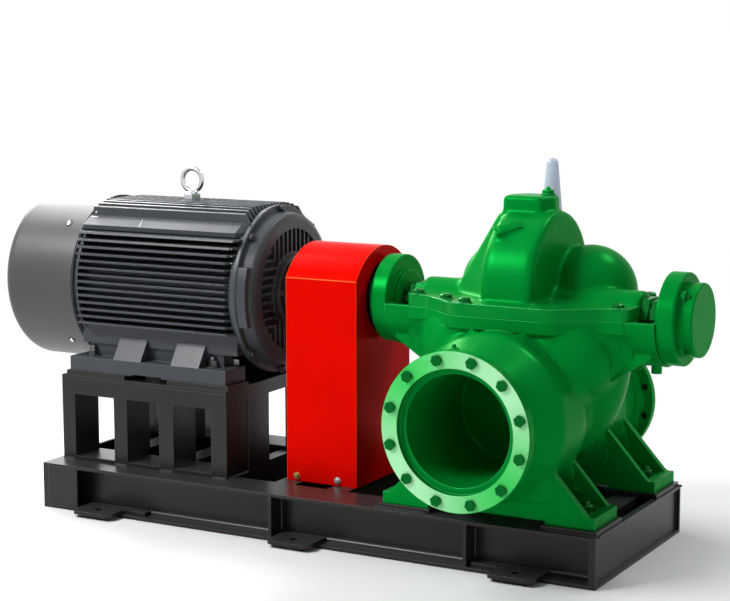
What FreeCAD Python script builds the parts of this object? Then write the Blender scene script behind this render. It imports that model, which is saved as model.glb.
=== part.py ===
# Split case pump set: horizontal double-suction pump, electric motor, coupling guard and base frame.
# Millimetres, +Z up. The shaft runs along X with the motor at -X and the pump at +X.
# The suction branch faces -Y. The origin is on the floor, below the middle of the base frame.
import FreeCAD, Part
import math
import os

os.makedirs("parts", exist_ok=True)
Vec = FreeCAD.Vector
X_DIR = Vec(1, 0, 0)
Y_DIR = Vec(0, 1, 0)
Z_DIR = Vec(0, 0, 1)

# Base frame: two rolled beams, closed by end channels
base_length = 1882.0
base_width = 680.0
base_height = 144.0
beam_width = 130.0
beam_flange = 10.0
beam_web = 8.0
beam_root = 12.0
end_recess = 20.0
end_plate = 10.0
end_lip = 8.0
corner_plate = 8.0
corner_plate_gap = 23.0
stiffener_thickness = 10.0
cross_width = 70.0
cross_plate = 8.0
cross_places = [-800.0, -560.0, -335.0, -120.0, 62.0, 338.0, 589.0, 840.0]
stiffener_places = [-99.0, 543.0]

# Anchor lugs
lug_spacing = 713.0
lug_length = 146.0
lug_reach = 63.0
lug_thickness = 12.0
lug_corner = 22.0
lug_hole_radius = 13.0
lug_hole_reach = 15.0
lug_packing = 32.0
lug_strip_length = 80.0
lug_strip_width = 45.0

# Shaft line
shaft_y = 8.0
shaft_z = 705.0

# Motor stand
stand_left = -924.0
stand_right = -299.0
stand_front = -255.0
stand_depth = 558.0
stand_height = 273.0
stand_plate = 10.0
stand_leg_depth = 122.0
stand_fascia = 50.0
stand_sill = 12.0
stand_panel = 245.0
stand_end_fascia = 34.0
stand_windows = [(-875.0, -722.0), (-672.0, -550.0), (-496.0, -356.0)]
packing_thickness = 16.0
packing_length = 225.0
packing_margin = 12.0

# Motor
motor_left = -874.0
motor_right = -275.0
motor_middle = -598.0
frame_radius = 224.0
frame_half = 263.0
frame_corner = 192.0
fin_thickness = 6.5
fin_pitch = 21.9
fin_depth = 44.0
fin_end_slope = 26.0
side_fins = 14
side_fin_first = 589.0
top_fins = 15
shoulder_inner = 156.0
shoulder_outer = 200.0
shoulder_height = 216.0
shoulder_drop = 26.0
shoulder_edge = 14.0
frame_ring = 14.0
frame_ring_radius = 256.0
belly_half_width = 214.0
belly_top = 124.0
belly_bottom = 186.0
shield_length = 31.0
drive_shield_length = 59.0
shield_flange_radius = 262.0
shield_flange = 13.0
shield_body_radius = 244.0
shield_face_radius = 219.0
shield_window_inner = 118.0
shield_window_outer = 190.0
shield_window_depth = 20.0
shield_bar = 7.0
shield_bar_pitch = 25.0
shield_pad_radius = 258.0
shield_pad_half_height = 92.0
bearing_cap_radius = 107.0
bearing_cap_length = 16.0
bearing_nose_radius = 84.0
bearing_nose_length = 10.0
motor_foot_half_width = 259.0
motor_foot_length = 588.0
motor_foot_width = 112.0
motor_foot_height = 46.0
motor_foot_relief = 5.0
motor_pedestal_inset = 40.0
gusset_width = 104.0
gusset_offset = 109.0
gusset_shift = 35.0
gusset_lean = 50.0
gusset_top = 149.0
motor_shaft_radius = 42.5
cover_radius = 268.0
cover_wall = 3.0
cover_length = 246.0
cover_round = 34.0
cover_grille_radius = 175.0
cover_grille_hub = 30.0
grille_rings = 5
grille_bar = 8.0
fan_radius = 215.0
fan_gap = 30.0
fan_length = 70.0
fan_hub_radius = 62.0
fan_disc = 14.0
fan_blades = 8
eye_ring_radius = 36.0
eye_bar_radius = 8.0
eye_collar_radius = 29.0
eye_collar_height = 21.0
eye_shift = 8.0
terminal_length = 230.0
terminal_height = 190.0
terminal_depth = 95.0
terminal_lid = 12.0

# Coupling and guard
coupling_middle = -22.0
coupling_gap = 6.0
coupling_radius = 105.0
coupling_disc = 42.0
coupling_hub_radius = 62.0
coupling_hub_length = 58.0
coupling_pins = 8
coupling_pin_radius = 9.0
coupling_pin_circle = 84.0
guard_left = -140.0
guard_right = 103.0
guard_half_width = 170.0
guard_wall_height = 623.0
guard_top = 861.0
guard_sheet = 4.0
guard_hole_radius = 108.0

# Pump casing
pump_x = 598.0
split_flange = 36.0
split_half_length = 345.0
split_end_half_width = 142.0
split_neck_x = 268.0
split_neck_half_width = 150.0
split_belly_x = 150.0
split_belly_half_width = 244.0
bowl_half_length = 300.0
bowl_half_width = 203.0
bowl_depth = 462.0
pump_shaft_radius = 32.5
suction_z = 434.0
suction_reach = 519.0
suction_flange_radius = 222.5
suction_flange_thickness = 30.0
suction_neck_radius = 178.0
suction_bore_radius = 156.0
suction_recess_radius = 174.0
suction_recess_depth = 20.0
suction_pcd = 400.0
suction_hole_radius = 11.5
discharge_z = 360.0
discharge_reach = 500.0
discharge_flange_radius = 197.5
discharge_flange_thickness = 28.0
discharge_neck_radius = 148.0
discharge_bore_radius = 125.0
discharge_pcd = 350.0
discharge_hole_radius = 11.0
flange_holes = 12
suction_flare = 60.0
discharge_flare = 20.0
branch_depth = 200.0

# Pump feet
foot_half_length = 326.0
foot_inner = 151.0
foot_outer = 316.0
foot_height = 34.0
foot_relief = 10.0
foot_relief_half = 180.0
foot_toe = 32.0
foot_pocket = 8.0
foot_web = 20.0
foot_web_inner = 16.0
foot_web_base_half = 304.0
foot_web_top_half = 97.0
foot_web_top_z = 420.0
foot_web_round = 16.0
foot_hole_radius = 14.0
foot_hole_x = 268.0
pad_thickness = 12.0
pad_margin = 11.0
pad_length = 165.0

# Bearing arms, glands and bearing housings, measured out from the pump's mid-plane
arm_radius = 138.0
arm_wall = 20.0
arm_end = 418.0
arm_start = 200.0
arm_drain_x = 379.0
arm_drain_radius = 15.0
arm_drain_drop = 22.0
box_radius = 72.0
gland_radius = 58.0
gland_length = 46.0
housing_hub_radius = 88.0
housing_hub_start = 403.0
housing_ring_radius = 132.0
housing_ring_end = 470.0
cap_radius = 105.0
cap_length = 44.0
cap_lobes = 4
cap_lobe_radius = 17.0
cap_lobe_circle = 102.0
cap_lobe_length = 16.0
drive_cover_radius = 98.0
drive_cover_length = 22.0
arm_gusset_root = 240.0
arm_gusset_tip = 397.0
arm_gusset_y = 98.0
arm_gusset_top = 620.0
arm_gusset_edge = 601.0
arm_gusset_foot_x = 285.0
arm_gusset_foot_z = 528.0
arm_gusset_thickness = 12.0
chamber_offset = 150.0
chamber_front = 88.0
chamber_drop = 105.0
chamber_radius = 150.0

# Upper casing
volute_left_width = 93.0
volute_right_width = 76.0
volute_radius = 217.0
volute_centre_y = 25.0
volute_centre_z = 67.0
volute_left_round = 34.0
volute_right_round = 18.0
dome_offset = 134.0
dome_back = 110.0
dome_radius = 136.0
dome_rise = 45.0
top_boss_height = 42.0
lug_angle = 45.0
lug_left = -60.0
lug_wedge_length = 76.0
lug_wedge_width = 34.0
lug_wedge_height = 22.0
tube_x = -3.0
tube_y = 132.0
tube_base = 945.0
tube_radius = 33.0
tube_top_radius = 18.0
tube_height = 169.0
flank_top = 980.0


# Places that several pieces share
beam_front = -base_width / 2
beam_rear = base_width / 2
web_offset = beam_width / 2
beam_end = base_length / 2 - end_recess
corner_plate_length = beam_end - lug_spacing - lug_length / 2 - corner_plate_gap
stand_rear = stand_front + stand_depth
stand_top = base_height + stand_height
pad_top = base_height + pad_thickness
motor_foot_z = stand_top + packing_thickness
fan_shield_left = motor_left - shield_length
drive_shield_right = motor_right + drive_shield_length
fan_right = fan_shield_left - fan_gap
fan_left = fan_right - fan_length
eye_base = shaft_z + frame_half
eye_x = motor_middle + eye_shift
eye_height = eye_base + eye_collar_height + eye_bar_radius + eye_ring_radius
casing_reach = split_half_length + arm_end
cover_left = fan_shield_left - cover_length
suction_face = shaft_y - suction_reach
volute_top = shaft_z + volute_centre_z + volute_radius


def save(shape, node):
    shape.exportStep("parts/" + node + ".step")


def block(x0, x1, y0, y1, z0, z1):
    return Part.makeBox(x1 - x0, y1 - y0, z1 - z0, Vec(x0, y0, z0))


def rod_x(x0, x1, radius, y=shaft_y, z=shaft_z):
    return Part.makeCylinder(radius, x1 - x0, Vec(x0, y, z), X_DIR)


def rod_y(y0, y1, radius, x, z):
    return Part.makeCylinder(radius, y1 - y0, Vec(x, y0, z), Y_DIR)


def rod_z(z0, z1, radius, x, y):
    return Part.makeCylinder(radius, z1 - z0, Vec(x, y, z0), Z_DIR)


def rounded_face(corners, origin, along, across):
    """Flat face from corners (a, b, radius); each radius is a tangent arc at that corner."""
    starts = []
    middles = []
    ends = []
    for index, (a, b, radius) in enumerate(corners):
        here = Vec(a, b, 0)
        before = Vec(corners[index - 1][0], corners[index - 1][1], 0) - here
        following = corners[(index + 1) % len(corners)]
        after = Vec(following[0], following[1], 0) - here
        before.normalize()
        after.normalize()
        half = before.getAngle(after) / 2
        reach = radius / math.tan(half)
        bisector = before + after
        bisector.normalize()
        centre = here + bisector * (radius / math.sin(half))
        starts.append(here + before * reach)
        middles.append(centre - bisector * radius)
        ends.append(here + after * reach)
    place = [[origin + along * p.x + across * p.y for p in row] for row in (starts, middles, ends)]
    edges = []
    for index, (a, b, radius) in enumerate(corners):
        if radius > 0:
            arc = Part.Arc(place[0][index], place[1][index], place[2][index])
            edges.append(arc.toShape())
        begin = place[2][index]
        finish = place[0][(index + 1) % len(corners)]
        if begin.distanceToPoint(finish) > 0.001:
            edges.append(Part.LineSegment(begin, finish).toShape())
    return Part.Face(Part.Wire(edges))


def turned_x(corners, x=0.0, y=shaft_y, z=shaft_z):
    """Solid turned about an axis along X; corners are (x, radius, corner radius)."""
    origin = Vec(x, y, z)
    return rounded_face(corners, origin, X_DIR, Z_DIR).revolve(origin, X_DIR, 360)


def turned_y(corners, x, y, z):
    """Solid turned about an axis along Y; corners are (y, radius, corner radius)."""
    origin = Vec(x, y, z)
    return rounded_face(corners, origin, Y_DIR, Z_DIR).revolve(origin, Y_DIR, 360)


def joined(shapes):
    whole = shapes[0].multiFuse(shapes[1:]) if len(shapes) > 1 else shapes[0]
    return whole.removeSplitter()


# Base frame

def beam(y_outer, side):
    """Rolled beam along X. side is +1 where the beam lies towards +Y of its outer edge."""
    half = beam_width / 2
    web = beam_web / 2
    outline = [
        (-half, 0, 0), (half, 0, 0), (half, beam_flange, 0), (web, beam_flange, beam_root),
        (web, base_height - beam_flange, beam_root), (half, base_height - beam_flange, 0),
        (half, base_height, 0), (-half, base_height, 0), (-half, base_height - beam_flange, 0),
        (-web, base_height - beam_flange, beam_root), (-web, beam_flange, beam_root),
        (-half, beam_flange, 0),
    ]
    middle = Vec(-beam_end, y_outer + side * half, 0)
    return rounded_face(outline, middle, Y_DIR, Z_DIR).extrude(X_DIR * (2 * beam_end))


def end_channel(side):
    """End closing plate with a lip all round; side is -1 at the motor end, +1 at the pump end."""
    outer = side * base_length / 2
    inner = side * (base_length / 2 - end_recess)
    plate_face = side * (base_length / 2 - end_recess + end_plate)
    low, high = sorted((outer, inner))
    body = block(low, high, beam_front, beam_rear, 0, base_height)
    low, high = sorted((outer, plate_face))
    hollow = block(low, high, beam_front + end_lip, beam_rear - end_lip, end_lip, base_height - end_lip)
    return body.cut(hollow)


def corner_plates():
    plates = []
    for y_low in (beam_front, beam_rear - corner_plate):
        plates.append(block(-beam_end, -beam_end + corner_plate_length, y_low, y_low + corner_plate,
                            beam_flange, base_height - beam_flange))
    return plates


def cross_member(x):
    """Folded channel across the frame, open towards -X."""
    inner_front = beam_front + beam_width
    inner_rear = beam_rear - beam_width
    body = block(x - cross_width / 2, x + cross_width / 2, inner_front, inner_rear, 0, base_height)
    hollow = block(x - cross_width / 2, x + cross_width / 2 - cross_plate, inner_front, inner_rear,
                   cross_plate, base_height - cross_plate)
    return body.cut(hollow)


def stiffener(x, side):
    """Upright plate between the beam flanges, on the outer side of the web."""
    outer = side * base_width / 2
    web_face = side * (base_width / 2 - web_offset + beam_web / 2)
    low, high = sorted((outer, web_face))
    plate = block(x, x + stiffener_thickness, low, high, beam_flange, base_height - beam_flange)
    snips = []
    for edge in plate.Edges:
        if abs(edge.CenterOfMass.y - web_face) < 0.01 and edge.Length < 2 * stiffener_thickness:
            snips.append(edge)
    return plate.makeChamfer(beam_root, snips)


def anchor_lug(x, side, strip):
    """Foundation lug on the lower beam flange with its packing; strip is the side it is tied along."""
    edge = side * base_width / 2
    web_face = side * (base_width / 2 - web_offset + beam_web / 2 + beam_root)
    tip = edge + side * lug_reach
    top = beam_flange + lug_thickness
    half = lug_length / 2
    outline = [(x - half, web_face, 0), (x + half, web_face, 0), (x + half, tip, lug_corner),
               (x - half, tip, lug_corner)]
    plate = rounded_face(outline, Vec(0, 0, beam_flange), X_DIR, Y_DIR).extrude(Z_DIR * lug_thickness)
    hole_y = edge + side * lug_hole_reach
    low, high = sorted((edge, hole_y + side * lug_packing))
    packing = block(x - lug_packing * 1.4, x + lug_packing * 1.4, low, high, 0, beam_flange)
    pieces = [plate, packing]
    if strip:
        left, right = sorted((x + strip * half, x + strip * (half + lug_strip_length)))
        low, high = sorted((web_face, web_face + side * (lug_strip_width - beam_root)))
        pieces.append(block(left, right, low, high, beam_flange, top))
    hole = rod_z(-1, top + 1, lug_hole_radius, x, hole_y)
    return joined(pieces).cut(hole)


# Motor stand

def stand_frame(y_low, window_edges):
    """Long side of the stand: fascia, sill and four hollow legs, with three windows between them."""
    body = block(stand_left, stand_right, y_low, y_low + stand_leg_depth, base_height,
                 stand_top - stand_plate)
    for left, right in window_edges:
        body = body.cut(block(left, right, y_low - 1, y_low + stand_leg_depth + 1,
                              base_height + stand_sill, stand_top - stand_plate - stand_fascia))
    hollow_low = y_low + stand_plate if y_low < 0 else y_low
    behind = block(stand_left + stand_plate, stand_right - stand_plate, hollow_low,
                   hollow_low + stand_leg_depth - stand_plate, stand_top - stand_plate - stand_fascia,
                   stand_top - stand_plate)
    return body.cut(behind)


def stand_end(x_low, panelled):
    """Short side of the stand: a fascia and a sill between the long frames, with a wide panel if asked."""
    front = stand_front + stand_leg_depth
    rear = stand_rear - stand_leg_depth
    fascia = block(x_low, x_low + stand_plate, front, rear, stand_top - stand_plate - stand_end_fascia,
                   stand_top - stand_plate)
    sill = block(x_low, x_low + stand_plate, front, rear, base_height, base_height + stand_sill)
    pieces = [fascia, sill]
    if panelled:
        pieces.append(block(x_low, x_low + stand_plate, front, stand_front + stand_panel, base_height,
                            stand_top - stand_plate))
    return joined(pieces)


# Motor

def frame_envelope():
    """Rounded square that the fin tips follow."""
    half = frame_half
    corners = [(-half, -half, frame_corner), (half, -half, frame_corner), (half, half, frame_corner),
               (-half, half, frame_corner)]
    return rounded_face(corners, Vec(motor_left, shaft_y, shaft_z), Y_DIR,
                        Z_DIR).extrude(X_DIR * (motor_right - motor_left))


def fin_plan(root, tip):
    """Long side view of a fin: a bar with both ends sloped back towards the tip; root and tip are heights."""
    left = motor_left + 4
    right = motor_right
    return [(left, root, 0), (right, root, 0), (right, tip - fin_depth, 0), (right - fin_end_slope, tip, 0),
            (left + fin_end_slope / 2, tip, 0), (left, tip - fin_depth, 0)]


def shoulder(side, up):
    """Flat cover strip between the upright and the level fins, its drive end chamfered."""
    outline = [(side * 100, up * 100), (side * 100, up * (shoulder_height - 8)),
               (side * shoulder_inner, up * shoulder_height),
               (side * shoulder_outer, up * (shoulder_height - shoulder_drop)),
               (side * shoulder_outer, up * (shoulder_height - shoulder_drop - shoulder_edge)),
               (side * 150, up * 150)]
    end = motor_right - fin_end_slope
    origin = Vec(0, shaft_y, shaft_z)
    points = [origin + Vec(motor_left, a, b) for a, b in outline]
    strip = Part.Face(Part.makePolygon(points + [points[0]])).extrude(X_DIR * (end - motor_left))
    sections = []
    for x, inset in ((end, 0.0), (motor_right, 1.0)):
        shrunk = []
        for a, b in outline:
            reach = 34 * inset if abs(a) > 190 else 10 * inset * (abs(a) > 149)
            shrunk.append(origin + Vec(x, a - side * reach, b))
        sections.append(Part.makePolygon(shrunk + [shrunk[0]]))
    return strip.fuse(Part.makeLoft(sections, True, True))


def motor_frame():
    """Cast frame: barrel, level side fins, upright top fins, flat shoulders between, box-like belly."""
    envelope = frame_envelope()
    combs = []
    for side in (-1, 1):
        for index in range(side_fins):
            z = side_fin_first + index * fin_pitch - fin_thickness / 2
            corners = [(a, side * b, r) for a, b, r in fin_plan(frame_radius - 100, frame_half)]
            combs.append(rounded_face(corners, Vec(0, shaft_y, z), X_DIR,
                                      Y_DIR).extrude(Z_DIR * fin_thickness))
    for index in range(top_fins):
        y = shaft_y + (index - (top_fins - 1) / 2) * fin_pitch - fin_thickness / 2
        plate = rounded_face(fin_plan(frame_radius - 80, frame_half), Vec(0, y, shaft_z), X_DIR, Z_DIR)
        combs.append(plate.extrude(Y_DIR * fin_thickness))
    fins = Part.makeCompound([comb.common(envelope) for comb in combs])
    shoulders = [shoulder(side, up) for side, up in ((-1, 1), (1, 1))]
    rings = [rod_x(motor_left, motor_left + frame_ring, frame_ring_radius),
             rod_x(motor_right - frame_ring, motor_right, frame_ring_radius)]
    belly = block(motor_left, motor_right - frame_ring, shaft_y - belly_half_width,
                  shaft_y + belly_half_width,
                  shaft_z - belly_bottom, shaft_z - belly_top)
    boss = rod_z(shaft_z + frame_radius - 20, eye_base, eye_collar_radius + 5, eye_x, shaft_y)
    barrel = rod_x(motor_left, motor_right, frame_radius)
    frame = barrel.multiFuse(fins.Solids + shoulders + rings + [belly, boss])
    return frame.cut(rod_x(motor_left - 1, motor_right + 1, motor_shaft_radius)).removeSplitter()


def motor_foot(side):
    """Cast foot: a rail, a pedestal up to the belly of the frame and two sloped gussets."""
    outer = shaft_y + side * motor_foot_half_width
    inner = shaft_y + side * (motor_foot_half_width - motor_foot_width)
    low, high = sorted((outer, inner))
    left = motor_middle - motor_foot_length / 2
    right = motor_middle + motor_foot_length / 2
    rail_top = motor_foot_z + motor_foot_height
    belly = shaft_z - belly_bottom
    rail = block(left, right, low, high, motor_foot_z, rail_top)
    relief = block(motor_middle - packing_length / 4, motor_middle + packing_length / 4, low, high,
                   motor_foot_z, motor_foot_z + motor_foot_relief)
    low, high = sorted((inner, shaft_y + side * (belly_half_width - motor_pedestal_inset / 4)))
    pedestal = block(left + motor_pedestal_inset, right - motor_pedestal_inset, low, high, rail_top, belly)
    pieces = [rail.cut(relief), pedestal]
    gusset_middle = motor_middle + gusset_shift
    for offset in (-gusset_offset, gusset_offset):
        profile = [
            (side * motor_foot_half_width, rail_top, 0),
            (side * (motor_foot_half_width - gusset_lean), shaft_z - gusset_top, 0),
            (side * (motor_foot_half_width - motor_foot_width), shaft_z - gusset_top, 0),
            (side * (motor_foot_half_width - motor_foot_width), rail_top, 0),
        ]
        origin = Vec(gusset_middle + offset - gusset_width / 2, shaft_y, 0)
        pieces.append(rounded_face(profile, origin, Y_DIR, Z_DIR).extrude(X_DIR * gusset_width))
    foot = joined(pieces)
    taken = block(motor_left, motor_right, shaft_y - belly_half_width, shaft_y + belly_half_width, belly,
                  shaft_z - belly_top)
    return foot.cut(taken).cut(rod_x(motor_left - 60, motor_right + 60, frame_ring_radius)).removeSplitter()


def fan_shield():
    outline = [
        (fan_shield_left, motor_shaft_radius, 0), (fan_shield_left, 120, 0), (fan_shield_left + 12, 150, 0),
        (fan_shield_left + 12, cover_radius - cover_wall - 12, 0),
        (fan_shield_left, cover_radius - cover_wall - 12, 0),
        (fan_shield_left, cover_radius - cover_wall, 0), (motor_left, cover_radius - cover_wall, 0),
        (motor_left, motor_shaft_radius, 0),
    ]
    return turned_x(outline)


def louvre_bars(upright):
    """Straight bars across the ring window: upright ones above and below the hub, level ones beside it."""
    low = drive_shield_right - shield_window_depth - 2
    high = drive_shield_right - 4
    reach = shield_window_outer + 4
    ring = rod_x(low, high, reach).cut(rod_x(low - 1, high + 1, shield_window_inner - 4))
    span = shield_flange_radius
    origin = Vec(low, shaft_y, shaft_z)
    sectors = []
    for side in (-1, 1):
        corners = [(0, 0), (span, side * span), (-span, side * span)] if upright else [
            (0, 0), (side * span, span), (side * span, -span)]
        points = [origin + Vec(0, a, b) for a, b in corners]
        sectors.append(Part.Face(Part.makePolygon(points + [points[0]])).extrude(X_DIR * (high - low)))
    bars = []
    count = int(reach // shield_bar_pitch)
    for index in range(-count, count + 1):
        place = index * shield_bar_pitch
        half = shield_bar / 2
        for sector in sectors:
            if upright:
                bar = block(low, high, shaft_y + place - half, shaft_y + place + half, shaft_z - reach,
                            shaft_z + reach)
            else:
                bar = block(low, high, shaft_y - reach, shaft_y + reach, shaft_z + place - half,
                            shaft_z + place + half)
            bars += bar.common(ring).common(sector).Solids
    return bars


def drive_shield():
    """Drive end shield: bolted flange, domed body, ring window with straight bars and a pad on each side."""
    flange_right = motor_right + shield_flange
    outline = [
        (motor_right, motor_shaft_radius, 0), (motor_right, shield_flange_radius, 0),
        (flange_right, shield_flange_radius, 4), (flange_right, shield_body_radius, 0),
        (drive_shield_right - 8, shield_body_radius - 8, 12), (drive_shield_right, shield_face_radius, 0),
        (drive_shield_right, shield_window_outer, 0),
        (drive_shield_right - shield_window_depth, shield_window_outer, 0),
        (drive_shield_right - shield_window_depth, shield_window_inner, 0),
        (drive_shield_right, shield_window_inner, 0), (drive_shield_right, motor_shaft_radius, 0),
    ]
    pieces = [turned_x(outline)] + louvre_bars(True) + louvre_bars(False)
    ring = rod_x(flange_right, drive_shield_right - 16, shield_pad_radius)
    ring = ring.cut(rod_x(flange_right - 1, drive_shield_right, shield_body_radius - 10))
    for side in (-1, 1):
        low, high = sorted((shaft_y, shaft_y + side * shield_pad_radius))
        window = block(flange_right - 1, drive_shield_right, low, high, shaft_z - shield_pad_half_height,
                       shaft_z + shield_pad_half_height)
        pieces.append(ring.common(window))
    return joined(pieces)


def bearing_cap():
    face = drive_shield_right
    middle = face + bearing_cap_length
    nose = middle + bearing_nose_length
    return turned_x([
        (face, motor_shaft_radius, 0), (face, bearing_cap_radius, 0), (middle, bearing_cap_radius, 4),
        (middle, bearing_nose_radius, 0), (nose, bearing_nose_radius, 3), (nose, motor_shaft_radius, 0),
    ])


def fan_cover():
    """Pressed steel cowl with a ring grille in its end."""
    outer = [
        (cover_left, 0, 0), (cover_left, cover_radius, cover_round), (motor_left - 4, cover_radius, 0),
        (motor_left - 4, 0, 0),
    ]
    inner = [
        (cover_left + cover_wall, 0, 0), (cover_left + cover_wall, cover_radius - cover_wall,
                                          cover_round - cover_wall),
        (motor_left, cover_radius - cover_wall, 0), (motor_left, 0, 0),
    ]
    cowl = turned_x(outer).cut(turned_x(inner))
    pitch = (cover_grille_radius - cover_grille_hub) / grille_rings
    slots = []
    for index in range(grille_rings):
        ring_inner = cover_grille_hub + index * pitch + grille_bar / 2
        ring_outer = cover_grille_hub + (index + 1) * pitch - grille_bar / 2
        ring = rod_x(cover_left - 1, cover_left + cover_wall + 1, ring_outer)
        ring = ring.cut(rod_x(cover_left - 2, cover_left + cover_wall + 2, ring_inner))
        slots.append(ring)
    spokes = []
    for angle in (0, 60, 120):
        spoke = block(cover_left - 2, cover_left + cover_wall + 2, shaft_y - grille_bar, shaft_y + grille_bar,
                      shaft_z - cover_radius, shaft_z + cover_radius)
        spoke.rotate(Vec(0, shaft_y, shaft_z), X_DIR, angle)
        spokes.append(spoke)
    for slot in slots:
        for spoke in spokes:
            slot = slot.cut(spoke)
        cowl = cowl.cut(slot)
    return cowl


def cooling_fan():
    hub = rod_x(fan_left, fan_right, fan_hub_radius)
    disc = rod_x(fan_right - fan_disc, fan_right, fan_radius - 20)
    blades = []
    for index in range(fan_blades):
        blade = block(fan_left + 6, fan_right - fan_disc / 2, shaft_y - 3, shaft_y + 3,
                      shaft_z + fan_hub_radius - 8,
                      shaft_z + fan_radius)
        blade.rotate(Vec(0, shaft_y, shaft_z), X_DIR, 360.0 * index / fan_blades)
        blades.append(blade)
    return joined([hub, disc] + blades).cut(rod_x(fan_left - 1, fan_right + 1, motor_shaft_radius))


def lifting_eye():
    """Forged eye bolt: six-sided collar, tapered neck and ring."""
    hexagon = Part.makePolygon([Vec(eye_x + eye_collar_radius * math.cos(math.radians(60 * k)),
                                    shaft_y + eye_collar_radius * math.sin(math.radians(60 * k)), eye_base)
                                for k in range(7)])
    collar = Part.Face(hexagon).extrude(Z_DIR * eye_collar_height)
    neck = Part.makeCone(eye_collar_radius - 8, eye_bar_radius, 14,
                         Vec(eye_x, shaft_y, eye_base + eye_collar_height), Z_DIR)
    ring = Part.makeTorus(eye_ring_radius, eye_bar_radius, Vec(eye_x, shaft_y, eye_height), Y_DIR)
    return joined([collar, neck, ring])


def terminal_box():
    front = shaft_y + frame_half
    rear = front + terminal_depth
    outline = [
        (motor_middle - terminal_length / 2, shaft_z - 20, 18),
        (motor_middle + terminal_length / 2, shaft_z - 20, 18),
        (motor_middle + terminal_length / 2, shaft_z - 20 + terminal_height, 18),
        (motor_middle - terminal_length / 2, shaft_z - 20 + terminal_height, 18),
    ]
    box = rounded_face(outline, Vec(0, front, 0), X_DIR, Z_DIR).extrude(Y_DIR * (rear - front))
    lid = rounded_face(outline, Vec(0, rear, 0), X_DIR, Z_DIR).extrude(Y_DIR * terminal_lid)
    return box, lid


# Coupling and guard

def coupling_half(side, bore):
    face = coupling_middle + side * coupling_gap / 2
    back = face + side * coupling_disc
    tail = face + side * (coupling_disc + coupling_hub_length)
    low, high = sorted((face, back))
    disc = rod_x(low, high, coupling_radius)
    low, high = sorted((face, tail))
    hub = rod_x(low, high, coupling_hub_radius)
    half = joined([disc, hub]).cut(rod_x(low - 1, high + 1, bore))
    for index in range(coupling_pins):
        angle = 2 * math.pi * (index + 0.5) / coupling_pins
        y = shaft_y + coupling_pin_circle * math.cos(angle)
        z = shaft_z + coupling_pin_circle * math.sin(angle)
        half = half.cut(rod_x(low - 1, high + 1, coupling_pin_radius, y, z))
    return half


def coupling_pin_set():
    pins = []
    for index in range(coupling_pins):
        angle = 2 * math.pi * (index + 0.5) / coupling_pins
        y = shaft_y + coupling_pin_circle * math.cos(angle)
        z = shaft_z + coupling_pin_circle * math.sin(angle)
        pins.append(rod_x(coupling_middle - coupling_gap / 2 - coupling_disc,
                          coupling_middle + coupling_gap / 2 + coupling_disc, coupling_pin_radius, y, z))
    return Part.makeCompound(pins)


def guard_profile(inset):
    """Arched section in the YZ plane, inset from the outside of the sheet."""
    half = guard_half_width - inset
    wall_top = base_height + guard_wall_height
    top = guard_top - inset
    left = Vec(guard_left, shaft_y - half, base_height)
    left_top = Vec(guard_left, shaft_y - half, wall_top)
    crown = Vec(guard_left, shaft_y, top)
    right_top = Vec(guard_left, shaft_y + half, wall_top)
    right = Vec(guard_left, shaft_y + half, base_height)
    edges = [Part.LineSegment(left, left_top).toShape(), Part.Arc(left_top, crown, right_top).toShape(),
             Part.LineSegment(right_top, right).toShape(), Part.LineSegment(right, left).toShape()]
    return Part.Face(Part.Wire(edges))


def coupling_guard():
    width = guard_right - guard_left
    outside = guard_profile(0).extrude(X_DIR * width)
    inside = guard_profile(guard_sheet).extrude(X_DIR * (width - 2 * guard_sheet))
    inside.translate(Vec(guard_sheet, 0, -guard_sheet))
    guard = outside.cut(inside)
    return guard.cut(rod_x(guard_left - 1, guard_right + 1, guard_hole_radius))


# Pump casing

def split_outline(z):
    """Plan of the split flange: a wide belly narrowing in S-curves to the stuffing boxes."""
    quarter = [
        (split_half_length, split_end_half_width, 28), (split_neck_x, split_neck_half_width, 60),
        (split_belly_x, split_belly_half_width, 80),
    ]
    front_right = [(a, -b, r) for a, b, r in reversed(quarter)]
    rear_right = [(a, b, r) for a, b, r in quarter]
    rear_left = [(-a, b, r) for a, b, r in reversed(quarter)]
    front_left = [(-a, -b, r) for a, b, r in quarter]
    return rounded_face(front_right + rear_right + rear_left + front_left, Vec(pump_x, shaft_y, z), X_DIR,
                        Y_DIR)


def bowl():
    """Lower casing body: ellipses that shrink smoothly towards the bottom."""
    sections = []
    for share in (0.0, 0.25, 0.45, 0.65, 0.8, 0.92, 0.985):
        size = (1 - share ** 3.2) ** 0.55
        centre = Vec(pump_x, shaft_y, shaft_z - share * bowl_depth)
        ellipse = Part.Ellipse(centre + X_DIR * bowl_half_length * size,
                               centre + Y_DIR * bowl_half_width * size, centre)
        sections.append(Part.Wire(ellipse.toShape()))
    return Part.makeLoft(sections, True, False)


def branch(radius, flare, flange_radius, flange_thickness, reach, z, side):
    """Flanged branch that flares towards the casing and ends round, along Y; side is -1 for suction."""
    ball = reach - branch_depth
    wide = radius + flare
    outline = [
        (0, 0, 0), (0, flange_radius, 3), (flange_thickness, flange_radius, 3),
        (flange_thickness, radius, 14),
        (ball * 0.2, radius, 40), (ball * 0.62, wide, 60), (ball, wide, 0), (ball, 0, 0),
    ]
    neck = turned_y([(-side * a, b, r) for a, b, r in outline], pump_x, shaft_y + side * reach, z)
    end = Part.makeSphere(wide, Vec(pump_x, shaft_y + side * branch_depth, z))
    return [neck, end]


def branch_bore(radius, reach, z, side):
    low, high = sorted((shaft_y + side * (reach + 1), shaft_y + side * branch_depth))
    tube = rod_y(low, high, radius, pump_x, z)
    return tube.fuse(Part.makeSphere(radius, Vec(pump_x, shaft_y + side * branch_depth, z)))


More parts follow.
